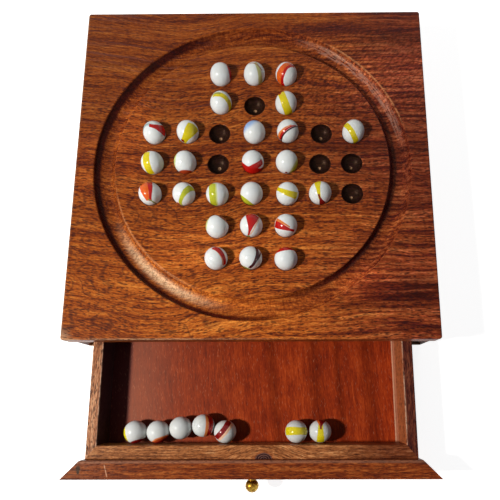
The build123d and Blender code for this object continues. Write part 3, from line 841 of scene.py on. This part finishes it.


# Bands of each marble, in hundredths of its radius to the right and up of its middle. The crescents of d5 and
# e1 and the brown crescent of c2 are painted reflections.
BANDS = {
    "c7": [rim(CRIMSON, 12, 24, 45, 14)],
    "d7": [
        arc(OLIVE_PALE, (16, 88), (46, 20), (50, -85), 34, 48, 10),
        arc(BROWN, (-25, 88), (22, 78), (60, 45), 12, 12, 10),
    ],
    "e7": [
        arc(ORANGE, (45, 80), (-58, 20), (-60, -70), 62, 66, 5),
        arc(RED, (62, 70), (-26, 5), (-26, -88), 20, 26, 4),
    ],
    "c6": [
        arc(YELLOW, (-52, 70), (45, 45), (80, -52), 46, 50, 5),
        arc(OLIVE, (-70, 66), (-50, 76), (-25, 80), 18, 18, 12),
    ],
    "e6": [arc(YELLOW, (-48, 86), (-10, 3), (30, -92), 64, 74, 4), spot(RED, (-52, 80), 11, 4)],
    "a5": [
        arc(TEAL, (-90, 38), (-60, 68), (-25, 70), 24, 16, 12),
        arc(RED, (-24, 60), (45, 40), (96, 12), 30, 92, 3),
    ],
    "b5": [arc(YELLOW, (-45, -80), (5, -8), (60, 52), 50, 108, 5), spot(DARK_RED, (-50, -74), 13, 5)],
    # d5's blue crescent is a painted reflection of the sky
    "d5": [rim(SKY_REFLECTION_BLUE, 125, 38, 60, 50)],
    "e5": [
        arc(AMBER, (-80, -50), (-40, 16), (20, 48), 36, 10, 10),
        arc(RED, (-68, -64), (-26, 8), (66, 48), 22, 10, 5),
        arc(MAROON, (-58, -76), (-14, -2), (94, 32), 14, 10, 4),
        spot(OLIVE, (96, 18), 11, 8),
    ],
    "g5": [arc(YELLOW, (-76, 58), (-15, 3), (32, -86), 42, 44, 4)],
    "a4": [arc(YELLOW, (-42, 83), (-53, 0), (-22, -90), 66, 72, 4), spot(RED, (-45, 86), 9, 4)],
    "b4": [rim(LIME_PALE, 170, 14, 50, 8), rim(BRICK, -92, 38, 36, 6)],
    "d4": [
        rim(RED, -105, 56, 85, 3),
        arc(RED, (-20, -56), (32, -32), (76, -2), 58, 50, 4),
    ],
    "e4": [rim(LIME_PALE, -30, 34, 50, 16), rim(LIME, -34, 18, 40, 12), spot(DARK_RED, (0, -88), 13, 5)],
    "a3": [
        arc(ORANGE, (-30, 92), (-46, 20), (-22, -42), 112, 50, 5),
        arc(RED, (6, 95), (4, 25), (-4, -48), 42, 24, 4),
        arc(GREEN, (-2, -55), (21, -71), (48, -90), 11, 11, 5),
    ],
    "b3": [arc(LIME, (-36, -84), (0, 6), (72, 54), 26, 50, 5), spot(RED, (-56, -78), 12, 5)],
    "c3": [
        arc(LIME_PALE, (-20, 88), (-20, 0), (-14, -92), 36, 36, 14),
        arc(LIME, (-40, 86), (-44, 0), (-34, -90), 58, 60, 6),
    ],
    "d3": [rim(LIME, -126, 36, 52, 5)],
    "e3": [arc(YELLOW, (-86, 42), (0, 8), (80, -16), 30, 58, 4), spot(RED, (-95, 38), 9, 5)],
    "f3": [
        arc(YELLOW, (-26, 94), (-18, 30), (-4, -34), 58, 24, 4),
        arc(DARK_RED, (-6, -28), (8, -58), (26, -90), 16, 58, 4),
    ],
    # c2's brown crescent at the top right is a painted reflection of the wood
    "c2": [rim(LIME_PALE, 165, 13, 50, 8), rim(BROWN, 52, 19, 45, 8)],
    "d2": [
        arc(PEACH, (70, 76), (36, 0), (-6, -68), 18, 11, 5),
        arc(RED, (14, 94), (-3, 10), (-24, -74), 118, 16, 3),
        spot(GREEN, (-26, -90), 11, 6),
    ],
    "e2": [
        arc(AMBER, (-80, 44), (-34, 24), (24, -6), 40, 12, 8),
        arc(RED, (-90, 12), (-20, -16), (66, -42), 58, 22, 3),
    ],
    "c1": [
        arc(AMBER, (-20, 80), (32, 34), (56, -40), 14, 10, 8),
        arc(RED, (-10, 92), (52, 38), (74, -44), 56, 34, 4),
    ],
    "d1": [
        arc(MAROON, (46, 86), (52, 5), (-6, -80), 36, 26, 3),
        arc(MAROON, (82, 38), (60, -10), (25, -45), 20, 12, 4),
        rim(OLIVE, -115, 14, 28, 5),
    ],
    # e1's grey-blue crescent at the right is a painted reflection of the sky
    "e1": [rim(SKY_REFLECTION_GREY_BLUE, -10, 30, 60, 25), rim(RED, 100, 30, 62, 5)],
    "spare_1": [rim(YELLOW, -165, 18, 45, 6), rim(DARK_RED, -75, 28, 38, 5)],
    "spare_2": [rim(AMBER, -68, 50, 50, 8), rim(BRICK, -66, 38, 48, 5), rim(DARK_RED, -62, 22, 44, 5)],
    "spare_3": [],
    "spare_4": [
        arc(AMBER, (28, 88), (36, 0), (26, -88), 34, 34, 8),
        arc(RED, (50, 83), (68, 0), (50, -80), 50, 50, 4),
    ],
    "spare_5": [
        arc(PEACH, (-50, -68), (8, -10), (60, 64), 26, 24, 12),
        arc(DARK_RED, (-76, -52), (-18, 10), (32, 88), 42, 48, 3),
    ],
    "spare_6": [arc(YELLOW, (-92, 4), (0, 4), (92, 2), 72, 66, 4)],
    "spare_7": [
        arc(YELLOW, (5, 45), (3, -25), (0, -92), 44, 70, 4),
        arc(ORANGE, (-17, 92), (-6, 62), (4, 36), 26, 10, 5),
        arc(DARK_RED, (20, 94), (13, 62), (8, 38), 60, 16, 3),
    ],
}

MILK_GLASS = {
    "Specular IOR Level": 0.22,
    "Subsurface Weight": 0.6,
    "Subsurface Radius": (1.0, 1.0, 1.0),
    "Subsurface Scale": 0.002,
}
BAND_BEND = 0.1  # scale of the bends that the swirl in the glass gives the bands, in radii
GLASS_BAND = start_glass_band()


def marble_glass(name, number, bands, in_painted_shade):
    """Material of one marble, whose number gives it its own swirl in the glass."""
    low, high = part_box(name)
    centre = (low + high) / 2
    made, tree = start_material(f"{name}_glass")
    place = tree.vector("SUBTRACT", tree.place(), tuple(centre * MM))
    place = tree.vector("MULTIPLY", place, (1 / MARBLE_RADIUS,) * 3)
    own_place = tree.vector("ADD", place, (number, 0, 0))
    swirl = tree.node("TexNoise", {"Vector": own_place, "Scale": 1.7, "Detail": 3.0})
    bend = tree.vector("SUBTRACT", swirl.outputs["Color"], (0.5, 0.5, 0.5))
    bent = tree.vector("ADD", place, tree.vector("MULTIPLY", bend, (BAND_BEND,) * 3))
    cloud = tree.step(swirl.outputs[0], 0.35, 0.65)
    colour = tree.mix(cloud, WHITE, CLOUD)
    # Painted shade: the spare marbles are darkened, as the key lamp is nearer to them
    if in_painted_shade:
        colour = shaded(tree, colour, 1.0, SPARE_PAINTED_SHADE)
    for band_colour, settings in bands:
        band = tree.node("Group", node_tree=GLASS_BAND)
        tree.feed(band.inputs["Place"], bent)
        for socket, value in settings(centre).items():
            tree.feed(band.inputs[socket], value)
        deeper = tuple(0.7 * part for part in band_colour)
        shade = tree.mix(tree.product(cloud, 0.3), band_colour, deeper)
        colour = tree.mix(band.outputs["Mask"], colour, shade)
    scuff = tree.noise(tree.vector("MULTIPLY", place, (9, 9, 9)), 3.0)
    roughness = tree.total(0.17, tree.product(tree.step(scuff, 0.55, 0.8), 0.06))
    close_material(tree, colour, roughness, swirl.outputs[0], 0.02, MILK_GLASS)
    return made


for number, (hole, bands) in enumerate(BANDS.items()):
    spare = hole.startswith("spare")
    name = f"spare_marble_{hole[-1]}" if spare else f"marble_{hole}"
    dress(name, marble_glass(name, number, bands, spare))

# Stage: a pale floor in a dim room
FLOOR_SIZE = 8.0
FLOOR_DROP = 0.0003  # below the case's underside
FLOOR_COLOUR = (0.8, 0.8, 0.8)
FLOOR_GLOW = 0.86
ROOM_COLOUR = (0.78, 0.86, 1.0)
ROOM_LEVEL = 0.055
PURE_WHITE = (1.0, 1.0, 1.0)


def seen_directly(tree):
    """1 for the camera and for what metal and glass reflect or let through."""
    path = tree.node("LightPath").outputs
    rays = tree.total(path["Is Camera Ray"], path["Is Glossy Ray"], path["Is Transmission Ray"])
    return tree.math("MINIMUM", rays, 1.0)


bpy.ops.mesh.primitive_plane_add(size=FLOOR_SIZE, location=(0, 0, -FLOOR_DROP))
floor = bpy.context.object
floor.name = "floor"
made, tree = start_material("floor_pale")
plain = tree.node("BsdfDiffuse", {"Color": FLOOR_COLOUR})
glow = tree.node("Emission", {"Color": PURE_WHITE, "Strength": tree.product(seen_directly(tree), FLOOR_GLOW)})
both = tree.node("AddShader", {0: plain.outputs[0], 1: glow.outputs[0]})
tree.feed(tree.node("OutputMaterial").inputs["Surface"], both.outputs[0])
floor.data.materials.append(made)

world = bpy.data.worlds.new("room")
bpy.context.scene.world = world
world.use_nodes = True
tree = Tree(world.node_tree)
dim = tree.node("Background", {"Color": ROOM_COLOUR, "Strength": ROOM_LEVEL})
white = tree.node("Background", {"Color": PURE_WHITE, "Strength": 1.0})
seen = tree.node("MixShader", {0: seen_directly(tree), 1: dim.outputs[0], 2: white.outputs[0]})
tree.feed(tree.node("OutputWorld").inputs["Surface"], seen.outputs[0])

# Lamps: a small key lamp near the front left, a weak one at the right and a soft one behind the board.
# Each has its diameter in metres, its power in watts and its place. The one behind isn't seen in reflections.
LAMPS = {
    "key": (0.055, 4.2, (-0.40, -0.215, 0.46)),
    "side": (0.10, 0.4, (0.88, -0.42, 0.36)),
    "back": (0.50, 3.0, (0.25, 1.05, 0.36)),
}
LAMP_COLOUR = (1.0, 0.96, 0.91)
LAMP_AIM = Vector((0.0, -0.05, 0.03))
for name, (size, energy, place) in LAMPS.items():
    lamp = bpy.data.lights.new(name, "AREA")
    lamp.shape = "DISK"
    lamp.size = size
    lamp.energy = energy
    lamp.color = LAMP_COLOUR
    made = bpy.data.objects.new(name, lamp)
    made.location = place
    made.visible_glossy = name != "back"
    made.rotation_euler = (Vector(place) - LAMP_AIM).to_track_quat("Z", "Y").to_euler()
    bpy.context.scene.collection.objects.link(made)

bpy.context.scene.view_settings.view_transform = "Standard"
